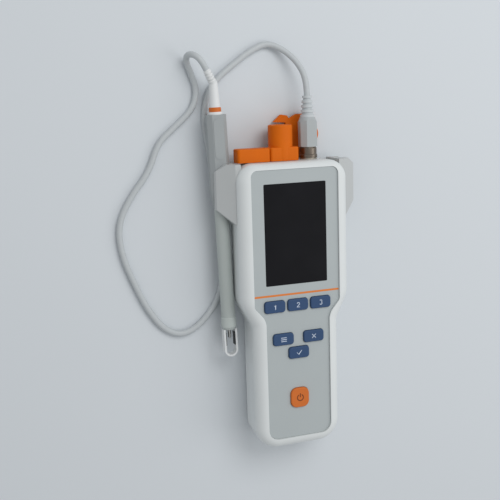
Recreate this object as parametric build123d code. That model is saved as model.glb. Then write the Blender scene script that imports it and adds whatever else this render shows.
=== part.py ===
from build123d import *
import math
import os

# Case, lying on its back with the face up; the origin is the middle of the flat back
body_length = 240.0
head_width = 95.4
handle_width = 75.0
body_depth = 43.0
seam_z = 33.0
wall = 2.2
rear_draft = 3.2
front_round = 9.0
back_round = 10.0
top_corner = 15.0
bottom_corner = 19.0
neck_top_y = 7.0
neck_bottom_y = -13.0
neck_outer_round = 24.0
neck_inner_round = 9.0
seam_gap = 0.1

# Face panel and window
panel_z = 41.5
panel_thickness = 1.0
panel_fit = 0.15
face_wall = 2.0
panel_head_width = 76.0
panel_handle_width = 56.6
panel_top_y = 115.0
panel_bottom_y = -111.3
panel_neck_top_y = 3.5
panel_neck_bottom_y = -7.5
window_width = 54.0
window_height = 83.0
window_y = 62.0
window_ledge = 1.5
window_round = 0.8

# Display module and boards
glass_width = 57.0
glass_height = 87.0
glass_thickness = 1.5
backlight_thickness = 1.5
frame_skin = 0.5
board_thickness = 1.6
board_top_z = 35.2
board_head_width = 64.0
board_handle_width = 47.0
board_top_y = 112.0
board_bottom_y = -106.0
mat_thickness = 1.0
dome_height = 0.6

# Keys: name, centre x, centre y
key_width = 18.1
key_height = 9.9
key_round = 2.6
key_proud = 1.9
key_travel = 1.0
key_clearance = 0.25
key_flange = 0.75
key_flange_thickness = 0.6
function_pitch = 20.3
function_y = 3.0
pair_half_pitch = 13.5
pair_y = -25.1
enter_y = -37.7
power_width = 16.2
power_height = 17.0
power_round = 5.4
power_y = -77.0

# Screws and bosses
boss_radius = 3.3
screw_radius = 1.4
screw_head_radius = 2.6
screw_head_height = 2.0
thread_fit = 0.05
head_boss_x = 36.2
handle_boss_x = 27.6
head_boss_ys = (79.0, 14.0)
handle_boss_ys = (-32.0, -103.0)
board_screw_x = 20.0
board_screw_ys = (-12.0, -100.0)
holder_screw_x = 24.0

# Battery
cell_radius = 7.2
cell_length = 49.5
cell_pitch = 15.0
cell_count = 3
cell_y = -70.0
bay_wall = 1.6
door_width = 45.6
door_thickness = 2.2
door_top_y = -39.0
door_gap = 0.2
door_tongue = 0.8
door_travel = 8.0

# Sockets on the top wall
socket_z = 18.0
power_socket_z = 20.5
power_socket_x = -30.0
aux_socket_x = -2.1
probe_socket_x = 22.3
socket_barrel_radius = 5.6
socket_flange_radius = 7.3
socket_flange = 1.2

# Rubber caps
cap_front_z = 27.0
cap_back_z = 14.0
cap_height = 11.0
cap_left_x = -42.5
cap_seam_x = -14.4
cap_right_x = 10.6
cap_skin = 1.6
cap_round = 2.2
cap_gap = 0.3
cup_radius = 10.0
cup_top_y = 149.3
cup_z = 17.4
strap_thickness = 2.8
strap_low_z = 2.4

# Probe holder with its two ears
band_thickness = 1.8
band_low_y = 86.0
band_high_y = 110.0
ear_front_z = 34.5
ear_outer_x = 60.8
ear_outer_z = 24.1
ear_back_z = 8.1
ear_seam_low_y = 71.5
ear_outer_low_y = 83.5
ear_outer_high_y = 115.0
ear_mouth_x = 59.4
pocket_fit = 0.35

# Probe: distances run along its own axis from the foot of the head's side
probe_foot_x = -52.4
probe_foot_y = 8.0
probe_z = 16.2
probe_lean = 1.67
stem_radius = 5.9
stem_low = -15.0
stem_high = 76.0
tip_radius = 6.3
tip_low = -25.5
grip_width = 16.3
grip_depth = 12.4
grip_bevel = 3.4
grip_low = 89.6
grip_high = 151.6
grip_panel_width = 8.2
grip_panel_low = 116.0
grip_panel_proud = 0.35
collar_high = 153.8
ring_radius = 4.9
ring_high = 157.4
boot_radius = 4.3
boot_bend = 176.0
boot_tip_radius = 2.9
boot_tip_length = 13.0
boot_turn = 28.0
boot_rise = 12.0
guard_half_width = 5.7
guard_bar = 1.5
guard_depth = 6.4
guard_length = 23.5
plate_thickness = 0.7
sensor_radius = 1.3
sensor_length = 8.0

# Lead
cord_diameter = 5.0
plug_collar_low = 121.6
plug_collar_high = 130.3
plug_collar_radius = 7.7
plug_width = 14.8
plug_depth = 13.4
plug_bevel = 4.0
plug_high = 154.6
plug_boot_high = 172.0
plug_boot_radius = 5.9
plug_boot_tip_radius = 3.9
plug_rib_count = 4

top_y = body_length / 2
panel_floor_z = panel_z - panel_thickness
face_low_z = panel_floor_z - face_wall
board_low_z = board_top_z - board_thickness
mat_top_z = board_top_z + mat_thickness
mat_dome_z = mat_top_z + dome_height


def block(x0, x1, y0, y1, z0, z1):
    """A plain block between two corners."""
    return Pos((x0 + x1) / 2, (y0 + y1) / 2, (z0 + z1) / 2) * Box(x1 - x0, y1 - y0, z1 - z0)


def rod(radius, length, at, along="Z"):
    """A cylinder that starts at a point and runs along +X, +Y or +Z."""
    turn = {"X": Rot(0, 90, 0), "Y": Rot(-90, 0, 0), "Z": Rot(0, 0, 0)}[along]
    align = (Align.CENTER, Align.CENTER, Align.MIN)
    return Pos(*at) * turn * Cylinder(radius, length, align=align)


def turned(profile, at):
    """A solid of revolution about +Y; the profile is (radius, distance) pairs."""
    face = make_face(Polyline(*[(r, h) for r, h in profile], close=True))
    return Pos(*at) * revolve(face, Axis.Y, 360)


def slab(width, height, radius, x, y, low_z, high_z):
    """A rounded rectangle standing from one level to another."""
    shape = extrude(RectangleRounded(width, height, radius), high_z - low_z)
    return Pos(x, y, low_z) * shape


def waisted(half_head, half_handle, high, low, waist, radii):
    """The bottle outline of the meter: a wide head, a waist and a narrower handle."""
    waist_high, waist_low = waist
    side = [(half_head, high), (half_head, waist_high), (half_handle, waist_low), (half_handle, low)]
    points = side + [(-x, y) for x, y in reversed(side)]
    rounds = list(radii) + list(reversed(radii))
    return make_face(FilletPolyline(*points, radius=rounds, close=True))


def case_outline(inset=0.0, draft=0.0):
    """The case's outline, moved in by a wall and, at the sides and foot, by the draft."""
    step = inset + draft
    slope = math.atan2((head_width - handle_width) / 2, neck_top_y - neck_bottom_y)
    lift = step * math.tan(slope / 2)
    radii = (
        top_corner - inset,
        neck_outer_round - step,
        neck_inner_round + step,
        bottom_corner - step,
    )
    return waisted(
        head_width / 2 - step,
        handle_width / 2 - step,
        top_y - inset,
        -top_y + step,
        (neck_top_y + lift, neck_bottom_y + lift),
        radii,
    )


def rear_form(inset=0.0):
    """The deep tray below the seam: drafted walls that round into the flat back."""
    high = case_outline(inset)
    low = case_outline(inset, rear_draft * (seam_z - inset) / seam_z)
    form = loft([Pos(0, 0, inset) * low, Pos(0, 0, seam_z) * high], ruled=True)
    edges = form.faces().sort_by(Axis.Z)[0].outer_wire().edges()
    return fillet(edges, back_round - inset)


def front_form(inset=0.0):
    """The front cover's bezel: upright at the seam, rounded over to the face."""
    form = Pos(0, 0, seam_z) * extrude(case_outline(inset), body_depth - inset - seam_z)
    edges = form.faces().sort_by(Axis.Z)[-1].outer_wire().edges()
    return fillet(edges, front_round - inset)


def panel_outline(grow=0.0):
    """The recess of the face panel, larger or smaller by a fit."""
    face = waisted(
        panel_head_width / 2,
        panel_handle_width / 2,
        panel_top_y,
        panel_bottom_y,
        (panel_neck_top_y, panel_neck_bottom_y),
        (5.5, 5.0, 14.0, 9.0),
    )
    return offset(face, grow) if grow else face


def key_places():
    """Every key's name, centre, size and corner radius."""
    small = (key_width, key_height, key_round)
    return {
        "key_one": (-function_pitch, function_y, *small),
        "key_two": (0.0, function_y, *small),
        "key_three": (function_pitch, function_y, *small),
        "key_left": (-pair_half_pitch, pair_y, *small),
        "key_right": (pair_half_pitch, pair_y, *small),
        "key_enter": (0.0, enter_y, *small),
        "power_key": (0.0, power_y, power_width, power_height, power_round),
    }


def case_screw_places():
    """The six screws that hold the covers together."""
    head = [(sx * head_boss_x, y) for sx in (-1, 1) for y in head_boss_ys]
    handle = [(sx * handle_boss_x, y) for sx in (-1, 1) for y in handle_boss_ys]
    return head + handle


def board_screw_places():
    """The four screws that hold the main board to the front cover."""
    return [(sx * board_screw_x, y) for sx in (-1, 1) for y in board_screw_ys]


def holder_screw_places():
    """The two screws that hold the probe holder's band to the rear cover."""
    return [(sx * holder_screw_x, (band_low_y + band_high_y) / 2) for sx in (-1, 1)]


def make_front_cover():
    """Bezel shell with the panel recess, window, key holes and screw bosses."""
    hollow = front_form(wall) - block(-60, 60, -130, 130, face_low_z, body_depth)
    shell = front_form() - hollow
    for x, y in case_screw_places():
        boss = rod(boss_radius, panel_floor_z - seam_z, (x, y, seam_z + seam_gap)) & front_form(1.0)
        shell = shell + boss
    for x, y in board_screw_places():
        shell = shell + rod(boss_radius - 0.8, face_low_z - board_top_z, (x, y, board_top_z))
    shell = shell - Pos(0, 0, panel_floor_z) * extrude(panel_outline(), body_depth)
    opening = (window_width - 2 * window_ledge, window_height - 2 * window_ledge)
    shell = shell - slab(*opening, 1.0, 0, window_y, face_low_z - 1, panel_z)
    for x, y, width, height, radius in key_places().values():
        size = (width + 2 * key_clearance, height + 2 * key_clearance, radius + key_clearance)
        shell = shell - slab(*size, x, y, face_low_z - 1, panel_z)
    for x, y in case_screw_places():
        shell = shell - rod(screw_radius + thread_fit, 5.5, (x, y, seam_z - 1))
    for x, y in board_screw_places():
        shell = shell - rod(screw_radius + thread_fit, 3.6, (x, y, board_top_z - 0.1))
    return shell


def make_face_panel():
    """The grey panel that lies in the recess, with holes for the window and keys."""
    panel = Pos(0, 0, panel_floor_z) * extrude(panel_outline(-panel_fit), panel_thickness)
    size = (window_width + 2 * panel_fit, window_height + 2 * panel_fit, window_round + panel_fit)
    panel = panel - slab(*size, 0, window_y, panel_floor_z - 1, panel_z + 1)
    for x, y, width, height, radius in key_places().values():
        size = (width + 2 * key_clearance, height + 2 * key_clearance, radius + key_clearance)
        panel = panel - slab(*size, x, y, panel_floor_z - 1, panel_z + 1)
    return panel


def make_key(x, y, width, height, radius):
    """A key: a domed cap through the panel, with a flange held under the cover."""
    high_z = panel_z + key_proud
    cap = slab(width, height, radius, x, y, face_low_z - key_flange_thickness, high_z)
    cap = fillet(cap.faces().sort_by(Axis.Z)[-1].outer_wire().edges(), 0.9)
    flange = slab(
        width + 2 * key_flange,
        height + 2 * key_flange,
        radius + key_flange,
        x,
        y,
        face_low_z - key_flange_thickness,
        face_low_z,
    )
    return cap + flange


def make_key_mat():
    """One silicone sheet with a dome under each key."""
    low_y = power_y - power_height / 2 - 4
    high_y = function_y + key_height / 2 + 1.2
    waist_y = function_y - key_height / 2 - 4
    mat = block(-board_head_width / 2, board_head_width / 2, waist_y, high_y, board_top_z, mat_top_z)
    mat = mat + block(-board_handle_width / 2, board_handle_width / 2, low_y, waist_y, board_top_z, mat_top_z)
    for x, y in board_screw_places():
        mat = mat - rod(boss_radius, mat_thickness + 2, (x, y, board_top_z - 1))
    for x, y, _, height, _ in key_places().values():
        dome = Pos(x, y, mat_top_z) * Cone(
            height / 2 - 1.6, height / 2 - 2.2, dome_height, align=(Align.CENTER, Align.CENTER, Align.MIN)
        )
        mat = mat + dome
    return mat


def make_main_board():
    """The board that carries the display, the key contacts and the sockets' leads."""
    outline = waisted(
        board_head_width / 2,
        board_handle_width / 2,
        board_top_y,
        board_bottom_y,
        (neck_top_y - 8, neck_bottom_y - 2),
        (2.0, 3.0, 3.0, 2.0),
    )
    board = Pos(0, 0, board_low_z) * extrude(outline, board_thickness)
    for x, y in board_screw_places():
        board = board - rod(screw_radius + 0.2, board_thickness + 2, (x, y, board_low_z - 1))
    return board


def make_display():
    """Window lens, glass, backlight and the thin metal frame round them."""
    lens = slab(window_width, window_height, window_round, 0, window_y, panel_floor_z, panel_z - 0.05)
    glass_low = face_low_z - glass_thickness
    light_low = glass_low - backlight_thickness
    glass = slab(glass_width, glass_height, 0.6, 0, window_y, glass_low, face_low_z)
    light = slab(glass_width - 1, glass_height - 1, 0.6, 0, window_y, light_low, glass_low)
    outer = (glass_width + 2 * frame_skin + 0.2, glass_height + 2 * frame_skin + 0.2)
    inner = (glass_width + 0.2, glass_height + 0.2)
    frame = slab(*outer, 0.8, 0, window_y, board_top_z, face_low_z - 0.4)
    frame = frame - slab(*inner, 0.6, 0, window_y, light_low, face_low_z)
    return lens, glass, light, frame


def bay_box(grow, low_z, high_z):
    """The battery bay's space, larger by a wall."""
    half_x = cell_count * cell_pitch / 2 + 0.4 + grow
    half_y = cell_length / 2 + 5.0 + grow
    return block(-half_x, half_x, cell_y - half_y, cell_y + half_y, low_z, high_z)


def door_blank(gap):
    """The battery cover's plate and tongues; a gap makes the space that takes it."""
    low_y = -top_y - 5
    half = door_width / 2 + gap
    plate = block(-half, half, low_y, door_top_y + gap, -1, door_thickness + gap)
    tongue_z = door_thickness / 2
    side = half + door_tongue
    tongues = block(-side, side, low_y, door_top_y - 3 + gap, tongue_z - gap, door_thickness - 0.3 + gap)
    return plate + tongues


def make_rear_cover():
    """Tray shell with screw bosses, the battery bay and the socket holes."""
    shell = rear_form() - rear_form(wall)
    shell = shell - block(-60, 60, -130, 130, seam_z - seam_gap, seam_z + 1)
    bay_top = 1.5 + door_thickness + 2 * cell_radius + 1.0
    bay = bay_box(bay_wall, 1.0, bay_top + bay_wall)
    step_top = door_thickness + door_gap + 1.6
    step = block(-door_width / 2 - 2.6, door_width / 2 + 2.6, -top_y, cell_y, 1.0, step_top)
    shell = shell + (bay & rear_form(1.0)) + (step & rear_form(1.0))
    for x, y in case_screw_places():
        boss = rod(boss_radius, seam_z - seam_gap - 1, (x, y, 1.0)) & rear_form(1.0)
        shell = shell + boss
    shell = shell - bay_box(0, -1, bay_top) - door_blank(door_gap)
    for x, y in case_screw_places():
        shell = shell - rod(screw_radius + 0.25, seam_z + 2, (x, y, -1))
        shell = shell - rod(screw_head_radius + 0.3, screw_head_height + 2.6, (x, y, -1))
    pad = rear_form(wall - 0.1) - rear_form(wall + band_thickness)
    shell = shell + (pad & block(-60, 60, band_low_y - 2, band_high_y + 2, 0, seam_z - seam_gap))
    for x, y in holder_screw_places():
        shell = shell + rod(boss_radius, 8, (x, y, wall + 1))
        shell = shell - rod(screw_radius + thread_fit, 7, (x, y, 0))
    hole_y = top_y - wall - 1
    shell = shell - rod(3.6, wall + 2, (power_socket_x, hole_y, power_socket_z), "Y")
    shell = shell - rod(5.1, wall + 2, (aux_socket_x, hole_y, socket_z), "Y")
    shell = shell - rod(5.1, wall + 2, (probe_socket_x, hole_y, socket_z), "Y")
    shell = shell - band_solid(0.15)
    return shell


def make_battery_cover():
    """The sliding cover, with a ribbed thumb grip."""
    cover = door_blank(0) & rear_form()
    for step in range(4):
        y = door_top_y - 7 - 2.4 * step
        cover = cover - Pos(0, y, 0) * Rot(0, 90, 0) * Cylinder(0.7, 16)
    return cover


def make_cells():
    """Three cells side by side, each with its raised contact."""
    z = door_thickness + door_gap + 0.4 + cell_radius
    cells = []
    for index in range(cell_count):
        x = (index - (cell_count - 1) / 2) * cell_pitch
        facing = 1 if index % 2 == 0 else -1
        profile = [
            (0, -cell_length / 2),
            (cell_radius, -cell_length / 2),
            (cell_radius, cell_length / 2),
            (2.7, cell_length / 2),
            (2.7, cell_length / 2 + 1.0),
            (0, cell_length / 2 + 1.0),
        ]
        profile = [(r, facing * h) for r, h in profile]
        cells.append(turned(profile, (x, cell_y, z)))
    return Compound(children=[cell.solid() for cell in cells])


def make_battery_contacts():
    """A flat plate and a cone spring at each end of the bay, for every cell."""
    z = door_thickness + door_gap + 0.4 + cell_radius
    half_bay = cell_length / 2 + 5.0
    pieces = []
    for index in range(cell_count):
        x = (index - (cell_count - 1) / 2) * cell_pitch
        facing = 1 if index % 2 == 0 else -1
        for end in (-1, 1):
            reach = 3.85 if end == facing else 4.85
            wall_y = cell_y + end * half_bay
            plate = block(x - 5.5, x + 5.5, wall_y - 0.25, wall_y + 0.25, z - 5, z + 5)
            plate = Pos(0, -end * 0.3, 0) * plate
            nub = 1.6 if end == facing else 4.6
            profile = [(0, 0), (nub + 1.4, 0), (nub, -end * reach), (0, -end * reach)]
            pieces.append(plate + turned(profile, (x, wall_y - end * 0.1, z)))
    return Compound(children=[piece.solid() for piece in pieces])


def make_screws(places, head_z, length, head_height=screw_head_height):
    """A group of equal pan-head screws, head downwards."""
    screws = []
    for x, y in places:
        head = rod(screw_head_radius, head_height, (x, y, head_z))
        head = chamfer(head.faces().sort_by(Axis.Z)[0].edges(), 0.3)
        head = head - Pos(x, y, head_z) * Box(3.0, 0.7, 1.0) - Pos(x, y, head_z) * Box(0.7, 3.0, 1.0)
        shank = rod(screw_radius, length, (x, y, head_z + head_height))
        screws.append((head + shank).solid())
    return Compound(children=screws)


def socket(x, z, barrel_radius, reach, bore_radius, flange_radius):
    """A panel socket: an outer barrel with a blind bore, a flange and a body behind the wall."""
    back = -(wall + 9.0)
    profile = [
        (0, back),
        (barrel_radius - 0.9, back),
        (barrel_radius - 0.9, 0),
        (flange_radius, 0),
        (flange_radius, socket_flange),
        (barrel_radius, socket_flange),
        (barrel_radius, reach),
        (bore_radius, reach),
        (bore_radius, reach - 6.0),
        (0, reach - 6.0),
    ]
    return turned(profile, (x, top_y + 0.02, z))


def make_nut(x, bore_radius):
    """A hexagonal nut inside the top wall."""
    face = RegularPolygon(7.4, 6) - Circle(bore_radius)
    nut = extrude(face, 2.4)
    return Pos(x, top_y - wall - 0.05, socket_z) * Rot(90, 0, 0) * nut


def cap_block(x0, x1):
    """A hollow rubber cap block that stands on the top wall."""
    low = top_y + cap_gap
    outer = block(x0, x1, low, low + cap_height, cap_back_z, cap_front_z)
    outer = fillet(outer.edges().filter_by(Axis.Y), cap_round)
    outer = fillet(outer.faces().sort_by(Axis.Y)[-1].outer_wire().edges(), 1.0)
    inner = block(
        x0 + cap_skin,
        x1 - cap_skin,
        low - 1,
        low + cap_height - cap_skin,
        cap_back_z + cap_skin,
        cap_front_z - cap_skin,
    )
    return outer, inner


def make_cap_left():
    """The closed cap over the power socket."""
    outer, inner = cap_block(cap_left_x, cap_seam_x - cap_gap / 2)
    return outer - inner


def make_cap_middle():
    """The cap over the auxiliary socket: a block with a tall round cup on it."""
    outer, inner = cap_block(cap_seam_x + cap_gap / 2, cap_right_x)
    low = top_y + cap_gap
    cup = rod(cup_radius, cup_top_y - low, (aux_socket_x, low, cup_z), "Y")
    cup = fillet(cup.faces().sort_by(Axis.Y)[-1].edges(), 1.2)
    bore = rod(cup_radius - cap_skin - 0.6, cup_top_y - low - 2.5, (aux_socket_x, low - 1, cup_z), "Y")
    return outer + cup - inner - bore


def make_open_cap():
    """The cap of the probe socket, pulled off and folded back behind the plug."""
    outline = Polyline(
        (-3.0, 151.0), (4.0, 157.0), (9.6, 156.0), (11.0, 153.4), (18.0, 157.0), (27.0, 157.0),
        (30.0, 146.0), (30.0, 128.0), (8.0, 112.0), (8.0, 150.3), close=True,
    )
    strap = Pos(0, 0, strap_low_z) * extrude(make_face(outline), strap_thickness)
    disc = rod(8.6, strap_thickness + 1.8, (28.8, 140.0, strap_low_z))
    disc = fillet(disc.faces().sort_by(Axis.Z)[-1].edges(), 1.4)
    foot = offset_case(cap_gap)
    return strap + disc - foot


def offset_case(gap):
    """The rear cover's outer form grown by a gap, to cut what stands against it."""
    return rear_form(-gap)


def band_solid(grow):
    """The holder's band round the back of the head, flush with the rear cover."""
    skin = rear_form() - rear_form(band_thickness + grow)
    zone = block(-60, 60, band_low_y - grow, band_high_y + grow, -1, ear_front_z - 5 + grow)
    return skin & zone


def grip_section(grow=0.0):
    """The handle's eight-sided section, in the plane across the probe."""
    half_x = grip_width / 2 + grow
    half_z = grip_depth / 2 + grow
    bevel = grip_bevel + 0.6 * grow
    quarter = [(half_x, half_z - bevel), (half_x - bevel, half_z)]
    points = quarter + [(-x, z) for x, z in reversed(quarter)]
    points = points + [(-x, -z) for x, z in points]
    return make_face(Polyline(*points, close=True))


def along_probe(shape):
    """Lay a piece drawn along +Y onto the leaning probe axis."""
    return Pos(probe_foot_x, probe_foot_y, probe_z) * Rot(0, 0, probe_lean) * shape


def prism(face, low, high):
    """Extrude a section drawn across the probe, from one distance to another."""
    return Pos(0, high, 0) * Rot(90, 0, 0) * extrude(face, high - low)


def make_ear():
    """The left ear: a slanted front, a C-shaped pocket for the probe and a cut-back foot."""
    section = Polyline(
        (-43.0, ear_front_z), (-47.7, ear_front_z), (-ear_outer_x, ear_outer_z),
        (-ear_outer_x - 0.9, ear_outer_z - 2.6), (-ear_outer_x - 0.9, 12.0), (-57.6, ear_back_z),
        (-43.0, ear_back_z), close=True,
    )
    ear = Pos(0, top_y, 0) * Rot(90, 0, 0) * extrude(make_face(section), top_y - ear_seam_low_y)
    foot = Polyline(
        (-47.7, ear_seam_low_y), (-ear_outer_x, ear_outer_low_y), (-80, ear_outer_low_y + 8),
        (-80, 40), (-30, 40), (-30, ear_seam_low_y), close=True,
    )
    shoulder = Polyline(
        (-52.0, top_y + 1), (-ear_outer_x, ear_outer_high_y), (-80, ear_outer_high_y - 12),
        (-80, top_y + 1), close=True,
    )
    ear = ear - extrude(make_face(foot), 60) - extrude(make_face(shoulder), 60)
    mouth = block(-80, -ear_mouth_x, 40, 140, 13.2, 20.4)
    return ear - mouth


def probe_pocket():
    """The space in the left ear that takes the probe's handle."""
    return along_probe(prism(grip_section(pocket_fit), 40, 140))


def make_probe_holder():
    """The U-shaped holder: a band round the back and an ear on each side."""
    left = make_ear() - offset_case(0.1) - front_form(-0.1)
    left = left + (band_bridge() & zone_of_band()) - probe_pocket()
    holder = band_solid(0) + left + mirror(left, about=Plane.YZ)
    for x, y in holder_screw_places():
        holder = holder - rod(screw_radius + 0.2, 6, (x, y, -1)) - rod(screw_head_radius + 0.2, 2.05, (x, y, -0.95))
    return holder


def zone_of_band():
    """The stretch of the sides where the ears grow out of the band."""
    return block(-60, -40, band_low_y, band_high_y, ear_back_z + 1, ear_front_z - 5)


def band_bridge():
    """A thin layer over the case that joins the band to the ears."""
    return rear_form(-0.6) - rear_form(0.3)


def make_probe_handle():
    """The eight-sided grip, its raised panel and the taper down to the stem."""
    grip = prism(grip_section(), grip_low, grip_high)
    small = grip_section(-2.2)
    big = grip_section()
    taper = loft([Pos(0, grip_low, 0) * Rot(90, 0, 0) * big, Pos(0, stem_high, 0) * Rot(90, 0, 0) * small], ruled=True)
    grip = grip + taper
    length = grip_high - 3 - grip_panel_low
    middle = grip_panel_low + length / 2
    levels = (grip_depth / 2 - 1, grip_depth / 2 + grip_panel_proud)
    grip = grip + slab(grip_panel_width, length, grip_panel_width / 2 - 0.1, 0, middle, *levels)
    return along_probe(grip - rod(stem_radius - 0.9, 8, (0, stem_high - 1, 0), "Y"))


def make_probe_stem():
    """The straight stem, with the spigot that goes up into the handle."""
    profile = [
        (0, stem_low), (stem_radius, stem_low), (stem_radius, stem_high),
        (stem_radius - 1.0, stem_high), (stem_radius - 1.0, stem_high + 6.5), (0, stem_high + 6.5),
    ]
    return along_probe(turned(profile, (0, 0, 0)))


def make_stem_tip():
    """The collar at the stem's end that carries the cell."""
    profile = [
        (0, tip_low), (tip_radius - 1.6, tip_low), (tip_radius, tip_low + 2.4),
        (tip_radius, stem_low - 0.6), (tip_radius - 0.3, stem_low), (0, stem_low),
    ]
    return along_probe(turned(profile, (0, 0, 0)))


def make_cell_guard():
    """The open bow that protects the cell plates."""
    def bow(half, length):
        arc_y = tip_low - length + half
        shape = Circle(half) + Pos(0, half, 0) * Rectangle(2 * half, 2 * half)
        long = Pos(0, (tip_low - arc_y) / 2, 0) * Rectangle(2 * half, tip_low - arc_y)
        keep = Pos(0, (tip_low - arc_y) / 2 - half, 0) * Rectangle(4 * half, tip_low - arc_y + 2 * half)
        return Pos(0, arc_y, 0) * ((shape + long) & keep)

    outline = bow(guard_half_width, guard_length) - bow(guard_half_width - guard_bar, guard_length - guard_bar)
    return along_probe(Pos(0, 0, -guard_depth / 2) * extrude(outline, guard_depth))


def make_cell_plates():
    """Two black plates on the inner faces of the bow."""
    inner = guard_half_width - guard_bar
    plates = []
    for side in (-1, 1):
        x = side * (inner - plate_thickness / 2)
        plate = block(x - plate_thickness / 2, x + plate_thickness / 2, tip_low - 14, tip_low - 3, -2.4, 2.4)
        plates.append(along_probe(plate).solid())
    return Compound(children=plates)


def make_sensor():
    """The temperature sensor between the plates."""
    pin = rod(sensor_radius, sensor_length, (0, tip_low - sensor_length, 0), "Y")
    return along_probe(fillet(pin.faces().sort_by(Axis.Y)[0].edges(), sensor_radius - 0.1))


def make_handle_collar():
    """The white shoulder at the top of the handle."""
    profile = [
        (0, grip_high), (6.0, grip_high), (6.0, grip_high + 0.8), (5.1, collar_high), (0, collar_high),
    ]
    return along_probe(turned(profile, (0, 0, 0)))


def make_probe_ring():
    """The orange ring above the collar."""
    profile = [
        (0, collar_high), (ring_radius, collar_high), (ring_radius, ring_high - 0.5),
        (ring_radius - 0.5, ring_high), (0, ring_high),
    ]
    return along_probe(turned(profile, (0, 0, 0)))


def boot_direction():
    """Where the bent end of the probe's strain relief points."""
    turn = math.radians(probe_lean + boot_turn)
    rise = math.radians(boot_rise)
    return (-math.sin(turn) * math.cos(rise), math.cos(turn) * math.cos(rise), math.sin(rise))


def boot_bend_point():
    """Where the strain relief starts to bend, in the meter's frame."""
    lean = math.radians(probe_lean)
    return (
        probe_foot_x - boot_bend * math.sin(lean),
        probe_foot_y + boot_bend * math.cos(lean),
        probe_z,
    )


def make_probe_boot():
    """The strain relief: a tapering tube, then a ribbed end bent up and outwards."""
    core = boot_tip_radius
    tube = [(0, ring_high), (boot_radius, ring_high), (core + 0.5, boot_bend), (0, boot_bend)]
    straight = along_probe(turned(tube, (0, 0, 0)))
    knee = Pos(*boot_bend_point()) * Sphere(core + 0.5)
    ribs = [(0, 0), (core + 0.5, 0)]
    pitch = boot_tip_length / 5
    for index in range(5):
        start = index * pitch
        outer = core + 0.5 - 0.08 * index
        ribs += [(outer, start + pitch * 0.55), (core - 0.5, start + pitch * 0.6), (core - 0.5, start + pitch * 0.95)]
        if index < 4:
            ribs.append((outer - 0.08, start + pitch))
    ribs += [(core - 0.5, boot_tip_length), (0, boot_tip_length)]
    tip = turned(ribs, (0, 0, 0))
    tip = Rot(boot_rise, 0, 0) * tip
    tip = Pos(*boot_bend_point()) * Rot(0, 0, probe_lean + boot_turn) * tip
    return straight + knee + tip


def make_plug():
    """The moulded plug: metal collar, eight-sided body, ribbed strain relief and insert."""
    at = (probe_socket_x, 0, socket_z)
    inner = socket_barrel_radius + 0.6
    outer = plug_collar_radius
    collar = [
        (inner, plug_collar_low), (outer, plug_collar_low), (outer, plug_collar_low + 2.2),
        (outer - 0.5, plug_collar_low + 2.7), (outer - 0.5, plug_collar_high - 1.2),
        (outer - 1.0, plug_collar_high - 0.4), (outer - 1.0, plug_collar_high), (inner, plug_collar_high),
    ]
    half_x = plug_width / 2
    half_z = plug_depth / 2
    quarter = [(half_x, half_z - plug_bevel), (half_x - plug_bevel, half_z)]
    points = quarter + [(-x, z) for x, z in reversed(quarter)]
    points = points + [(-x, -z) for x, z in points]
    body = prism(make_face(Polyline(*points, close=True)), plug_collar_high, plug_high)
    envelope = [
        (0, plug_collar_high), (half_x + 0.1, plug_collar_high), (half_x + 0.6, plug_collar_high + 1.5),
        (half_x + 0.6, plug_high - 4.5), (plug_boot_radius + 0.2, plug_high), (0, plug_high),
    ]
    body = Pos(*at) * (body & turned(envelope, (0, 0, 0)))
    insert = [
        (0, plug_collar_low + 1.6), (2.6, plug_collar_low + 1.6), (2.6, plug_collar_high - 1.6),
        (inner - 0.05, plug_collar_high - 1.6), (inner - 0.05, plug_collar_high), (0, plug_collar_high),
    ]
    relief = [(0, plug_high)]
    length = plug_boot_high - plug_high
    pitch = length / (plug_rib_count + 0.5)
    for index in range(plug_rib_count + 1):
        start = plug_high + index * pitch
        share = index / (plug_rib_count + 0.5)
        outer_r = plug_boot_radius + (plug_boot_tip_radius - plug_boot_radius) * share
        core_r = outer_r - 1.3
        end = min(start + pitch * 0.5, plug_boot_high)
        relief += [(outer_r, start), (outer_r - 0.1, end)]
        if index < plug_rib_count:
            relief += [(core_r, end + 0.1), (core_r - 0.15, start + pitch - 0.1)]
    relief.append((0, plug_boot_high))
    return (
        turned(collar, at),
        body,
        turned(relief, at),
        turned(insert, at),
    )


# The lead's route on the bench, in the order it is laid from the plug to the probe
floor_z = cord_diameter / 2 + 0.1
route = [
    (22.3, 172.0, 18.0),
    (22.3, 184.5, 18.0),
    (17.4, 198.6, 13.0),
    (7.0, 210.0, 6.2),
    (-6.0, 215.6, floor_z),
    (-20.0, 210.0, floor_z),
    (-35.0, 199.4, floor_z),
    (-50.0, 188.4, floor_z),
    (-60.2, 173.4, floor_z),
    (-62.6, 155.0, floor_z),
    (-59.8, 135.0, floor_z),
    (-55.6, 108.0, floor_z),
    (-51.6, 76.0, floor_z),
    (-50.6, 40.0, floor_z),
    (-53.0, 9.0, floor_z),
    (-70.0, -13.0, floor_z),
    (-88.0, -22.5, floor_z),
    (-104.0, -15.4, floor_z),
    (-117.0, 3.0, floor_z),
    (-127.4, 27.0, floor_z),
    (-136.0, 51.0, floor_z),
    (-137.6, 75.0, floor_z),
    (-126.4, 96.4, floor_z),
    (-109.6, 116.4, floor_z),
    (-101.8, 138.6, floor_z),
    (-86.0, 151.4, floor_z),
    (-71.0, 164.6, floor_z),
    (-67.4, 180.0, floor_z),
    (-71.8, 192.4, floor_z),
    (-75.8, 202.4, 3.7),
    (-76.2, 207.1, 9.8),
    (-73.0, 207.1, 16.9),
]


def cord_points():
    """The whole route, with its last two points on the line of the bent strain relief."""
    start = Vector(*boot_bend_point())
    line = Vector(*boot_direction())
    tip = start + line * boot_tip_length
    lead = tip + line * 8.6
    return [Vector(*point) for point in route] + [lead, tip]


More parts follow.
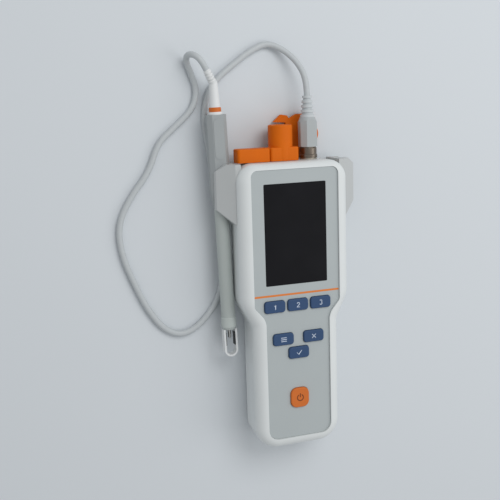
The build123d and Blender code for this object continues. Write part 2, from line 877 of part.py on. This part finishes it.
def make_cord():
    """The tube: straight runs joined by arcs as large as the runs allow."""
    points = cord_points()
    radii = []
    for before, here, after in zip(points, points[1:], points[2:]):
        shorter = min((here - before).length, (after - here).length)
        turn = (here - before).get_angle(after - here)
        radii.append(0.45 * shorter / math.tan(math.radians(turn) / 2))
    print("cord radii", [round(r, 1) for r in radii])
    path = FilletPolyline(*points, radius=radii)
    section = Plane(origin=path @ 0, z_dir=path % 0) * Circle(cord_diameter / 2)
    tube = sweep(section, path)
    expected = math.pi * (cord_diameter / 2) ** 2 * path.length
    print("cord length", round(path.length, 1), "volume", round(tube.volume), "of", round(expected))
    return tube


def save(name, shape):
    """Write one node."""
    export_step(shape, "parts/" + name + ".step")


def main():
    os.makedirs("parts", exist_ok=True)
    save("front_cover", make_front_cover())
    save("rear_cover", make_rear_cover())
    save("face_panel", make_face_panel())
    lens, glass, light, frame = make_display()
    save("display_window", lens)
    save("display_glass", glass)
    save("backlight", light)
    save("display_frame", frame)
    save("main_board", make_main_board())
    save("key_mat", make_key_mat())
    for name, place in key_places().items():
        save(name, make_key(*place))
    save("battery_cells", make_cells())
    save("battery_contacts", make_battery_contacts())
    save("battery_cover", make_battery_cover())
    save("case_screws", make_screws(case_screw_places(), 1.4, seam_z + 3.4 - 1.4 - screw_head_height))
    save("holder_screws", make_screws(holder_screw_places(), 0.1, 5.5, 1.0))
    board_length = board_thickness + 2.6
    save("board_screws", make_screws(board_screw_places(), board_low_z - screw_head_height, board_length))
    save("power_socket", socket(power_socket_x, power_socket_z, 4.3, 3.0, 2.0, 4.6))
    save("aux_socket", socket(aux_socket_x, socket_z, 5.9, 14.0, 4.4, 6.4))
    size = (socket_barrel_radius, 7.6, 4.4, socket_flange_radius)
    save("probe_socket", socket(probe_socket_x, socket_z, *size))
    nuts = [make_nut(aux_socket_x, 5.1), make_nut(probe_socket_x, 4.8)]
    save("socket_nuts", Compound(children=[nut.solid() for nut in nuts]))
    save("cap_left", make_cap_left())
    save("cap_middle", make_cap_middle())
    save("open_cap", make_open_cap())
    save("probe_holder", make_probe_holder())
    save("probe_handle", make_probe_handle())
    save("probe_stem", make_probe_stem())
    save("stem_tip", make_stem_tip())
    save("cell_guard", make_cell_guard())
    save("cell_plates", make_cell_plates())
    save("temperature_sensor", make_sensor())
    save("handle_collar", make_handle_collar())
    save("probe_ring", make_probe_ring())
    save("probe_boot", make_probe_boot())
    collar, body, relief, insert = make_plug()
    save("plug_collar", collar)
    save("plug_body", body)
    save("plug_boot", relief)
    save("plug_insert", insert)
    save("cord", make_cord())


main()
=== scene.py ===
"""Looks of a handheld conductivity meter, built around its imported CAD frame."""

import math

import bmesh
import bpy
from mathutils import Matrix, Vector


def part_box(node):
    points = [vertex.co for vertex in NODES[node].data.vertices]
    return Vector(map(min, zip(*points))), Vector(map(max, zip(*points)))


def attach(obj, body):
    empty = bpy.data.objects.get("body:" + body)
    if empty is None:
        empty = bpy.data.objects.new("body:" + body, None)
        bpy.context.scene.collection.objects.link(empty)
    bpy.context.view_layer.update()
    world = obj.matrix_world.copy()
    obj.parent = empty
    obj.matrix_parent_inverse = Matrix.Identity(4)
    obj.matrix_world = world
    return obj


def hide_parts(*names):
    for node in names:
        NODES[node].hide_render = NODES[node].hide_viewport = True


bl_info = {
    "name": "Conductivity Meter Looks",
    "version": (1, 0, 0),
    "blender": (4, 5, 0),
    "location": "View3D > Sidebar > Meter",
    "description": "Finishes, printed marks, lead and stage of a handheld conductivity meter",
    "category": "Object",
}

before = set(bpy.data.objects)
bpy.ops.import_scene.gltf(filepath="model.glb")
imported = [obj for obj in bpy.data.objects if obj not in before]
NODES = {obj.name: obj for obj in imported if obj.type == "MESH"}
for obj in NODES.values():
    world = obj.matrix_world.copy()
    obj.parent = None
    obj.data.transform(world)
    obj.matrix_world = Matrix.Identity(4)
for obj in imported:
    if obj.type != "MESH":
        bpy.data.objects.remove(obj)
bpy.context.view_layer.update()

# The lead's route on the bench, from the plug to the probe, and its sizes, in metres
ROUTE = [
    (0.0223, 0.1720, 0.0180),
    (0.0223, 0.1845, 0.0180),
    (0.0174, 0.1986, 0.0130),
    (0.0070, 0.2100, 0.0062),
    (-0.0060, 0.2156, 0.0026),
    (-0.0200, 0.2100, 0.0026),
    (-0.0350, 0.1994, 0.0026),
    (-0.0500, 0.1884, 0.0026),
    (-0.0602, 0.1734, 0.0026),
    (-0.0626, 0.1550, 0.0026),
    (-0.0598, 0.1350, 0.0026),
    (-0.0556, 0.1080, 0.0026),
    (-0.0516, 0.0760, 0.0026),
    (-0.0506, 0.0400, 0.0026),
    (-0.0530, 0.0090, 0.0026),
    (-0.0700, -0.0130, 0.0026),
    (-0.0880, -0.0225, 0.0026),
    (-0.1040, -0.0154, 0.0026),
    (-0.1170, 0.0030, 0.0026),
    (-0.1274, 0.0270, 0.0026),
    (-0.1360, 0.0510, 0.0026),
    (-0.1376, 0.0750, 0.0026),
    (-0.1264, 0.0964, 0.0026),
    (-0.1096, 0.1164, 0.0026),
    (-0.1018, 0.1386, 0.0026),
    (-0.0860, 0.1514, 0.0026),
    (-0.0710, 0.1646, 0.0026),
    (-0.0674, 0.1800, 0.0026),
    (-0.0718, 0.1924, 0.0026),
    (-0.0758, 0.2024, 0.0037),
    (-0.0762, 0.2071, 0.0098),
    (-0.0730, 0.2071, 0.0169),
    (-0.0680, 0.2023, 0.0207),
    (-0.0638, 0.1950, 0.0189),
]
CORD_DIAMETER = 0.005

# The camera's place, axes, focal length and sensor, in metres and millimetres
CAMERA_PLACE = (-0.2785, 0.1811, 0.7086)
CAMERA_RIGHT = (0.939, -0.031, 0.342)
CAMERA_BACK = (-0.331, 0.179, 0.926)
CAMERA_LENS = 64.8
CAMERA_SENSOR = 36

# The lamps: place, width and height, and share of the softbox's power
LAMPS = {
    "key_light": ((0.25, 0.75, 1.1), (0.9, 0.7), 1),
    "side_light": ((0.9, -0.1, 0.8), (0.7, 0.7), 0.35),
}
ROOM_COLOUR = (0.97, 0.985, 1.0, 1)
BENCH_HALF_WIDTH = 2.5
BENCH_SQUARES = 8

# How deep printed ink starts in its surface and how far it stands proud, in metres
LINE_SINK = 0.0001
LINE_RISE = 0.00005
MARK_RISE = 0.00004

# Points round a stroke's end, and the least number that its width is divided by at a turn
CAP_POINTS = 5
LEAST_TURN = 0.5

# The power key's mark: its radius in legend heights, its stroke in legend strokes, the ends
# of its ring in degrees, and the ends of its bar in radii
POWER_RADIUS = 0.7
POWER_STROKE = 1.6
POWER_RING = (125, 415)
POWER_BAR = (0.25, 1.25)

# Sockets of a Mix node that mixes colours
MIX_SHARE = 0
MIX_FIRST = 6
MIX_SECOND = 7
MIX_RESULT = 2

# How far grain, dimples and turned lines stand out, in metres
GRAIN_DEPTH = 0.00001
DIMPLE_DEPTH = 0.00003
TURNED_DEPTH = 0.00001

# Scales of the noise on plated metal along X, Y and Z, so that its lines lie across Y
TURNED_STRETCH = (1, 1 / 0.03, 1)

# How much lighter and darker the patches of moulded plastic are, as a share of the colour
MOTTLE = 0.03


def tone(red, green, blue):
    """A colour as seen on a screen, 0 to 255, as the shader's linear one."""
    def channel(level):
        level /= 255
        return level / 12.92 if level <= 0.04045 else ((level + 0.055) / 1.055) ** 2.4
    return (channel(red), channel(green), channel(blue))


# Shader maths

class Value:
    """A node's output that is used in sums like a number."""

    def __init__(self, finish, socket):
        self.finish = finish
        self.socket = socket

    def math(self, operation, first, second):
        return self.finish.node("ShaderNodeMath", {"operation": operation}, {0: first, 1: second})

    def __add__(self, other):
        return self.math("ADD", self, other)

    def __radd__(self, other):
        return self.math("ADD", other, self)

    def __sub__(self, other):
        return self.math("SUBTRACT", self, other)

    def __rsub__(self, other):
        return self.math("SUBTRACT", other, self)

    def __mul__(self, other):
        return self.math("MULTIPLY", self, other)

    def __rmul__(self, other):
        return self.math("MULTIPLY", other, self)


class Finish:
    """A material and the nodes behind its shader."""

    def __init__(self, name):
        self.material = bpy.data.materials.new(name)
        self.material.use_nodes = True
        self.tree = self.material.node_tree
        self.shader = self.tree.nodes["Principled BSDF"]

    def node(self, kind, settings, sockets, output=0):
        """Makes a node: its settings first, then the values or links of its sockets."""
        made = self.tree.nodes.new(kind)
        for key, setting in settings.items():
            setattr(made, key, setting)
        for key, value in sockets.items():
            self.feed(made.inputs[key], value)
        return Value(self, made.outputs[output])

    def feed(self, socket, value):
        """Links a value to a socket, or writes a plain number or colour on it."""
        if isinstance(value, Value):
            self.tree.links.new(value.socket, socket)
        elif socket.type == "RGBA" and len(value) == 3:
            socket.default_value = (*value, 1)
        else:
            socket.default_value = value

    def place(self):
        """The point on the piece, in metres."""
        return self.node("ShaderNodeTexCoord", {}, {}, "Object")

    def noise(self, size, detail, stretch=None):
        """Soft noise with features of a given size in metres, from 0 to 1."""
        point = self.place()
        if stretch:
            settings = {"operation": "MULTIPLY"}
            point = self.node("ShaderNodeVectorMath", settings, {0: point, 1: stretch})
        sockets = {"Vector": point, "Scale": 1 / size, "Detail": detail, "Roughness": 0.55}
        return self.node("ShaderNodeTexNoise", {}, sockets, "Fac")

    def mix(self, share, first, second):
        """A colour between two colours."""
        settings = {"data_type": "RGBA", "blend_type": "MIX"}
        sockets = {MIX_SHARE: share, MIX_FIRST: first, MIX_SECOND: second}
        return self.node("ShaderNodeMix", settings, sockets, MIX_RESULT)

    def ramp(self, value, low, high):
        """Brings what lies between low and high to 0 to 1, smoothly."""
        settings = {"interpolation_type": "SMOOTHSTEP"}
        sockets = {"Value": value, "From Min": low, "From Max": high}
        return self.node("ShaderNodeMapRange", settings, sockets)

    def bump(self, height, distance):
        """A bump whose height, from 0 to 1, stands out by its distance in metres."""
        sockets = {"Strength": 1.0, "Distance": distance, "Height": height}
        self.feed(self.shader.inputs["Normal"], self.node("ShaderNodeBump", {}, sockets, "Normal"))

    def set(self, **sockets):
        """Values of the shader's own sockets, by their names with underscores."""
        for name, value in sockets.items():
            self.feed(self.shader.inputs[name.replace("_", " ")], value)
        return self.material


def shade(colour, factor):
    """A lighter or darker version of a colour."""
    return tuple(min(1.0, level * factor) for level in colour)


def moulded(name, colour, roughness=0.42, grain=0.0005):
    """Moulded plastic: a fine spark-eroded grain and faint uneven patches."""
    finish = Finish(name)
    patches = finish.noise(size=0.035, detail=3)
    fine = finish.noise(size=grain, detail=2)
    base = finish.mix(patches, shade(colour, 1 - MOTTLE), shade(colour, 1 + MOTTLE))
    base = finish.mix(finish.ramp(fine, low=0.62, high=0.8) * 0.12, base, shade(colour, 0.8))
    finish.bump(fine, GRAIN_DEPTH)
    return finish.set(
        Base_Color=base,
        Roughness=roughness + (patches - 0.5) * 0.12,
        Specular_IOR_Level=0.35,
    )


def soft_rubber(name, colour, roughness=0.55, gloss=0.4):
    """Soft rubber or silicone: matt, with a faint bloom and small dimples."""
    finish = Finish(name)
    bloom = finish.noise(size=0.012, detail=4)
    dimples = finish.noise(size=0.0009, detail=3)
    base = finish.mix(finish.ramp(bloom, low=0.35, high=0.75) * 0.35, colour, shade(colour, 1.12))
    finish.bump(dimples, DIMPLE_DEPTH)
    return finish.set(
        Base_Color=base,
        Roughness=roughness + bloom * 0.12,
        Specular_IOR_Level=gloss,
    )


def plated(name, colour, roughness):
    """Plated or turned metal with fine lines."""
    finish = Finish(name)
    lines = finish.noise(size=0.0004, detail=2, stretch=TURNED_STRETCH)
    dull = finish.noise(size=0.004, detail=3)
    base = finish.mix(dull, shade(colour, 0.8), shade(colour, 1.15))
    finish.bump(lines, TURNED_DEPTH)
    return finish.set(Base_Color=base, Metallic=1.0, Roughness=roughness + dull * 0.15)


def lens_black(name, colour):
    """A clear hard-coated lens over a dark display."""
    finish = Finish(name)
    haze = finish.noise(size=0.03, detail=3)
    base = finish.mix(haze, shade(colour, 0.8), shade(colour, 1.3))
    return finish.set(Base_Color=base, Roughness=0.22 + haze * 0.06, Specular_IOR_Level=0.12)


def printed(name, colour, roughness=0.5):
    """Screen-printed ink, a little uneven."""
    finish = Finish(name)
    speck = finish.noise(size=0.0003, detail=2)
    base = finish.mix(finish.ramp(speck, low=0.55, high=0.9) * 0.3, colour, shade(colour, 0.8))
    return finish.set(Base_Color=base, Roughness=roughness, Specular_IOR_Level=0.3)


def sheath(name, colour):
    """The lead's flexible sheath, satin with small faint marks."""
    finish = Finish(name)
    marks = finish.noise(size=0.0025, detail=4)
    fine = finish.noise(size=0.0006, detail=2)
    base = finish.mix(finish.ramp(marks, low=0.4, high=0.8) * 0.4, colour, shade(colour, 0.88))
    finish.bump(fine, DIMPLE_DEPTH)
    return finish.set(Base_Color=base, Roughness=0.42 + marks * 0.1, Specular_IOR_Level=0.4)


def bench_top(name, colour):
    """A plain matt bench."""
    finish = Finish(name)
    cloud = finish.noise(size=0.4, detail=2)
    base = finish.mix(cloud, shade(colour, 0.985), shade(colour, 1.015))
    return finish.set(Base_Color=base, Roughness=0.9, Specular_IOR_Level=0.1)


# Mesh helpers

def dress(material, *names):
    """Gives CAD nodes their finish."""
    for name in names:
        piece = NODES[name]
        piece.data.materials.clear()
        piece.data.materials.append(material)


def piece_from(mesh_builder, name, body, material):
    """Links a new mesh piece that rides on a body."""
    mesh = bpy.data.meshes.new(name)
    mesh_builder.to_mesh(mesh)
    mesh_builder.free()
    mesh.materials.append(material)
    piece = bpy.data.objects.new(name, mesh)
    bpy.context.scene.collection.objects.link(piece)
    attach(piece, body)


def top_centre(name):
    """The middle of a key's top."""
    low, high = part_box(name)
    return ((low.x + high.x) / 2, (low.y + high.y) / 2, high.z)


def arc(centre, radius, start, end, steps=14):
    """Points on an arc, in degrees from +X."""
    turns = [math.radians(start + (end - start) * i / steps) for i in range(steps + 1)]
    return [(centre[0] + radius * math.cos(t), centre[1] + radius * math.sin(t)) for t in turns]


def ribbon(builder, points, half, low, high):
    """Adds a flat printed stroke with round ends along a line of points."""
    points = [Vector(p) for p in points]
    sides = []
    for i, point in enumerate(points):
        before = points[max(i - 1, 0)]
        after = points[min(i + 1, len(points) - 1)]
        along = (after - before).normalized()
        if 0 < i < len(points) - 1:
            turn = (point - before).normalized().dot((after - point).normalized())
            reach = half / max(math.sqrt((1 + turn) / 2), LEAST_TURN)
        else:
            reach = half
        sides.append((point, Vector((-along.y, along.x)) * reach, along))
    start, end = sides[0], sides[-1]
    outline = [p + s for p, s, _ in sides]
    outline += cap_points(end[0], end[2], half, 1)
    outline += [p - s for p, s, _ in reversed(sides)]
    outline += cap_points(start[0], start[2], half, -1)
    lower = [builder.verts.new((p.x, p.y, low)) for p in outline]
    upper = [builder.verts.new((p.x, p.y, high)) for p in outline]
    count = len(outline)
    tops = []
    left = list(range(len(sides)))
    right = [len(sides) + CAP_POINTS + len(sides) - 1 - i for i in left]
    for i in left[:-1]:
        tops.append([left[i], right[i], right[i + 1], left[i + 1]])
    tops.append([left[-1], right[-1]] + list(range(right[-1] - 1, left[-1], -1)))
    tops.append([right[0], left[0]] + list(range(count - 1, right[0], -1)))
    for loop in tops:
        builder.faces.new([upper[i] for i in loop])
        builder.faces.new([lower[i] for i in reversed(loop)])
    for i in range(count):
        j = (i + 1) % count
        builder.faces.new([upper[i], upper[j], lower[j], lower[i]])


def cap_points(place, along, half, way):
    """The points round a stroke's end."""
    side = Vector((-along.y, along.x)) * way
    step = 180 / (CAP_POINTS + 1)
    turns = [math.radians(step * i) for i in range(1, CAP_POINTS + 1)]
    return [place + (side * math.cos(t) + along * way * math.sin(t)) * half for t in turns]


def mark(key, strokes, width, material):
    """A printed mark of several strokes, centred on a key's top."""
    builder = bmesh.new()
    for line in strokes:
        ribbon(builder, line, width / 2, -MARK_RISE, MARK_RISE)
    bmesh.ops.recalc_face_normals(builder, faces=builder.faces)
    bmesh.ops.translate(builder, verts=builder.verts, vec=top_centre(key))
    piece_from(builder, key + "_mark", key + "_body", material)


# Settings

def colour_setting(label, about, default):
    return bpy.props.FloatVectorProperty(
        name=label, description=about, subtype="COLOR", size=3, min=0, max=1, default=default
    )


def length_setting(label, about, default):
    return bpy.props.FloatProperty(
        name=label, description=about, subtype="DISTANCE", unit="LENGTH", min=0, default=default
    )


class MeterColours(bpy.types.PropertyGroup):
    """Colours of the meter's finishes."""

    case: colour_setting("Case", "Off-white of the two covers", tone(222, 226, 226))
    panel: colour_setting("Panel", "Grey of the face panel", tone(178, 185, 186))
    window: colour_setting("Window", "Dark of the display window", tone(24, 24, 27))
    holder: colour_setting("Holder", "Grey of the probe holder", tone(190, 193, 193))
    keys: colour_setting("Keys", "Blue of the keys", tone(46, 74, 112))
    power: colour_setting("Power key", "Orange of the power key", tone(208, 108, 36))
    caps: colour_setting("Caps", "Orange of the rubber caps", tone(216, 104, 0))
    line: colour_setting("Line", "Orange of the printed line", tone(224, 128, 58))
    grip: colour_setting("Grip", "Grey of the probe's handle", tone(160, 165, 166))
    stem: colour_setting("Stem", "Grey of the probe's stem", tone(180, 187, 184))
    white: colour_setting("White parts", "White of the probe's collar", tone(226, 228, 228))
    cord: colour_setting("Cord", "Grey of the sheath", tone(192, 197, 199))
    plug: colour_setting("Plug", "Grey of the plug", tone(172, 177, 178))
    legend: colour_setting("Legends", "Pale ink of the keys' marks", tone(205, 215, 230))


class MeterSizes(bpy.types.PropertyGroup):
    """Sizes of the printed marks."""

    line_y: length_setting("Line place", "How far the printed line is from the middle", 0.01225)
    line_length: length_setting("Line length", "Length of the printed line", 0.0752)
    line_width: length_setting("Line width", "Width of the printed line", 0.0016)
    legend_height: length_setting("Legend height", "Height of a key's mark", 0.0038)
    legend_stroke: length_setting("Legend stroke", "Thickness of a mark's strokes", 0.00055)


class MeterStage(bpy.types.PropertyGroup):
    """Bench and light."""

    bench: colour_setting("Bench", "Colour of the bench", tone(214, 219, 223))
    softbox: bpy.props.FloatProperty(
        name="Softbox", description="Power of the overhead softbox", unit="POWER", default=6.5
    )
    fill: bpy.props.FloatProperty(name="Fill", description="Strength of the room's light", default=0.5)


# Operators

class METER_OT_case(bpy.types.Operator):
    """Finish the covers, face panel, window, holder and screws"""

    bl_idname = "meter.case"
    bl_label = "Case"

    def execute(self, context):
        colours = context.scene.meter_colours
        sizes = context.scene.meter_sizes
        covers = moulded("case_plastic", colours.case, roughness=0.4)
        dress(covers, "front_cover", "rear_cover", "battery_cover")
        dress(moulded("panel_plastic", colours.panel, roughness=0.5, grain=0.0003), "face_panel")
        dress(lens_black("window_lens", colours.window), "display_window")
        dress(moulded("holder_plastic", colours.holder, roughness=0.45), "probe_holder")
        screws = plated("screw_steel", tone(150, 150, 148), roughness=0.35)
        dress(screws, "case_screws", "holder_screws", "board_screws")
        builder = bmesh.new()
        half = sizes.line_length / 2 - sizes.line_width / 2
        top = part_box("face_panel")[1].z
        ink = printed("line_ink", colours.line)
        line = [(-half, sizes.line_y), (half, sizes.line_y)]
        ribbon(builder, line, sizes.line_width / 2, top - LINE_SINK, top + LINE_RISE)
        bmesh.ops.recalc_face_normals(builder, faces=builder.faces)
        piece_from(builder, "printed_line", "meter", ink)
        return {"FINISHED"}


class METER_OT_keys(bpy.types.Operator):
    """Finish the keys and print their marks"""

    bl_idname = "meter.keys"
    bl_label = "Keys"

    def marks(self, h):
        """Strokes of each key's mark for a mark of height h: plain numbers and simple signs."""
        cross = h * 0.4
        two = arc((0, h * 0.23), h * 0.27, 165, -35) + [(-h * 0.28, -h * 0.5), (h * 0.3, -h * 0.5)]
        three = arc((0, h * 0.25), h * 0.25, 140, -80) + arc((0, -h * 0.24), h * 0.27, 80, -145)
        return {
            "key_one": [[(-h * 0.2, h * 0.3), (h * 0.04, h * 0.5), (h * 0.04, -h * 0.5)]],
            "key_two": [two],
            "key_three": [three],
            "key_left": [[(-h * 0.6, y), (h * 0.6, y)] for y in (h * 0.4, 0, -h * 0.4)],
            "key_right": [[(-cross, -cross), (cross, cross)], [(-cross, cross), (cross, -cross)]],
            "key_enter": [[(-h * 0.5, -h * 0.02), (-h * 0.12, -h * 0.42), (h * 0.55, h * 0.42)]],
        }

    def execute(self, context):
        colours = context.scene.meter_colours
        sizes = context.scene.meter_sizes
        blue = soft_rubber("key_blue", colours.keys, roughness=0.5)
        ink = printed("legend_ink", colours.legend)
        for name, strokes in self.marks(sizes.legend_height).items():
            dress(blue, name)
            mark(name, strokes, sizes.legend_stroke, ink)
        dress(soft_rubber("key_orange", colours.power, roughness=0.45), "power_key")
        radius = sizes.legend_height * POWER_RADIUS
        dark = printed("power_ink", tone(120, 60, 25))
        ring = arc((0, 0), radius, *POWER_RING, steps=26)
        bar = [(0, radius * reach) for reach in POWER_BAR]
        mark("power_key", [ring, bar], sizes.legend_stroke * POWER_STROKE, dark)
        return {"FINISHED"}


class METER_OT_caps(bpy.types.Operator):
    """Finish the rubber caps and the sockets"""

    bl_idname = "meter.caps"
    bl_label = "Caps and sockets"

    def execute(self, context):
        colours = context.scene.meter_colours
        rubber = soft_rubber("cap_rubber", colours.caps, roughness=0.5, gloss=0.2)
        dress(rubber, "cap_left", "cap_middle", "open_cap")
        shell = plated("socket_shell", tone(180, 172, 160), roughness=0.3)
        dress(shell, "power_socket", "aux_socket", "probe_socket", "socket_nuts")
        return {"FINISHED"}


class METER_OT_probe(bpy.types.Operator):
    """Finish the probe's pieces"""

    bl_idname = "meter.probe"
    bl_label = "Probe"

    def execute(self, context):
        colours = context.scene.meter_colours
        dress(moulded("grip_plastic", colours.grip), "probe_handle")
        dress(moulded("tip_plastic", shade(colours.stem, 1.12), roughness=0.36), "stem_tip")
        dress(moulded("stem_plastic", colours.stem, roughness=0.36), "probe_stem")
        white = moulded("white_plastic", colours.white, roughness=0.35)
        dress(white, "handle_collar", "probe_boot", "cell_guard")
        dress(soft_rubber("ring_orange", colours.power, roughness=0.4), "probe_ring")
        dress(printed("plate_black", tone(28, 28, 28), roughness=0.4), "cell_plates")
        dress(plated("sensor_steel", tone(190, 190, 188), roughness=0.2), "temperature_sensor")
        return {"FINISHED"}


class METER_OT_plug(bpy.types.Operator):
    """Finish the plug's pieces"""

    bl_idname = "meter.plug"
    bl_label = "Plug"

    def execute(self, context):
        colours = context.scene.meter_colours
        dress(soft_rubber("plug_grey", colours.plug, roughness=0.42), "plug_body")
        dress(soft_rubber("plug_relief", shade(colours.cord, 1.05), roughness=0.45), "plug_boot")
        dress(plated("plug_collar_metal", tone(128, 118, 108), roughness=0.28), "plug_collar")
        dress(moulded("plug_insert_plastic", tone(40, 40, 42)), "plug_insert")
        return {"FINISHED"}


class METER_OT_cord(bpy.types.Operator):
    """Lay the lead from the probe to the plug"""

    bl_idname = "meter.cord"
    bl_label = "Cord"

    def execute(self, context):
        curve = bpy.data.curves.new("lead", "CURVE")
        curve.dimensions = "3D"
        spline = curve.splines.new("NURBS")
        points = list(reversed(ROUTE))
        spline.points.add(len(points) - 1)
        for point, place in zip(spline.points, points):
            point.co = (*place, 1)
        spline.order_u = 3
        spline.use_endpoint_u = True
        spline.resolution_u = 10
        curve.bevel_depth = CORD_DIAMETER / 2
        curve.bevel_resolution = 6
        curve.use_fill_caps = True
        lead = bpy.data.objects.new("lead", curve)
        context.scene.collection.objects.link(lead)
        curve.materials.append(sheath("cord_sheath", context.scene.meter_colours.cord))
        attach(lead, "electrode")
        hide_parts("cord")
        return {"FINISHED"}


class METER_OT_inside(bpy.types.Operator):
    """Finish what the covers hide"""

    bl_idname = "meter.inside"
    bl_label = "Inside"

    def execute(self, context):
        dress(moulded("display_dark", tone(30, 32, 34), roughness=0.2), "display_glass")
        dress(moulded("light_guide", tone(235, 238, 236), roughness=0.3), "backlight")
        dress(plated("frame_tin", tone(190, 190, 186), roughness=0.35), "display_frame")
        dress(moulded("board_green", tone(30, 96, 62), roughness=0.35), "main_board")
        dress(soft_rubber("mat_silicone", tone(196, 200, 202)), "key_mat")
        dress(moulded("cell_wrap", tone(58, 64, 72), roughness=0.3), "battery_cells")
        dress(plated("contact_nickel", tone(205, 202, 192), roughness=0.25), "battery_contacts")
        return {"FINISHED"}


class METER_OT_stage(bpy.types.Operator):
    """Set the bench, light and camera"""

    bl_idname = "meter.stage"
    bl_label = "Stage"

    def softbox(self, name, place, size, power):
        """An area light that faces the middle of the scene."""
        light = bpy.data.lights.new(name, "AREA")
        light.shape = "RECTANGLE"
        light.size, light.size_y = size
        light.energy = power
        lamp = bpy.data.objects.new(name, light)
        bpy.context.scene.collection.objects.link(lamp)
        lamp.location = place
        lamp.rotation_euler = Vector(place).to_track_quat("Z", "Y").to_euler()

    def execute(self, context):
        scene = context.scene
        settings = scene.meter_stage
        builder = bmesh.new()
        bmesh.ops.create_grid(
            builder, x_segments=BENCH_SQUARES, y_segments=BENCH_SQUARES, size=BENCH_HALF_WIDTH
        )
        mesh = bpy.data.meshes.new("bench")
        builder.to_mesh(mesh)
        builder.free()
        bench = bpy.data.objects.new("bench", mesh)
        scene.collection.objects.link(bench)
        mesh.materials.append(bench_top("bench_top", settings.bench))
        for name, (place, size, share) in LAMPS.items():
            self.softbox(name, place, size, settings.softbox * share)
        world = bpy.data.worlds.new("room")
        world.use_nodes = True
        background = world.node_tree.nodes["Background"]
        background.inputs["Color"].default_value = ROOM_COLOUR
        background.inputs["Strength"].default_value = settings.fill
        scene.world = world
        camera = bpy.data.cameras.new("camera")
        camera.lens = CAMERA_LENS
        camera.sensor_width = CAMERA_SENSOR
        eye = bpy.data.objects.new("camera", camera)
        scene.collection.objects.link(eye)
        back = Vector(CAMERA_BACK).normalized()
        right = Vector(CAMERA_RIGHT)
        right = (right - back * right.dot(back)).normalized()
        turned = Matrix((right, back.cross(right), back)).transposed()
        eye.matrix_world = Matrix.Translation(CAMERA_PLACE) @ turned.to_4x4()
        scene.camera = eye
        scene.view_settings.view_transform = "Standard"
        return {"FINISHED"}


OPERATORS = (
    METER_OT_stage,
    METER_OT_cord,
    METER_OT_case,
    METER_OT_keys,
    METER_OT_caps,
    METER_OT_probe,
    METER_OT_plug,
    METER_OT_inside,
)


class METER_PT_looks(bpy.types.Panel):
    """Buttons for the meter's pieces"""

    bl_idname = "METER_PT_looks"
    bl_label = "Conductivity Meter"
    bl_space_type = "VIEW_3D"
    bl_region_type = "UI"
    bl_category = "Meter"

    def draw(self, context):
        for operator in OPERATORS:
            self.layout.operator(operator.bl_idname)
        for group in (context.scene.meter_colours, context.scene.meter_sizes, context.scene.meter_stage):
            box = self.layout.box()
            for name in group.__annotations__:
                box.prop(group, name)


SETTINGS = {"meter_colours": MeterColours, "meter_sizes": MeterSizes, "meter_stage": MeterStage}


def register():
    for group in SETTINGS.values():
        bpy.utils.register_class(group)
    for name, group in SETTINGS.items():
        setattr(bpy.types.Scene, name, bpy.props.PointerProperty(type=group))
    for operator in OPERATORS:
        bpy.utils.register_class(operator)
    bpy.utils.register_class(METER_PT_looks)


def unregister():
    bpy.utils.unregister_class(METER_PT_looks)
    for operator in reversed(OPERATORS):
        bpy.utils.unregister_class(operator)
    for name, group in SETTINGS.items():
        delattr(bpy.types.Scene, name)
        bpy.utils.unregister_class(group)


def main():
    register()
    for operator in OPERATORS:
        group, name = operator.bl_idname.split(".")
        getattr(getattr(bpy.ops, group), name)()


if __name__ == "__main__":
    main()
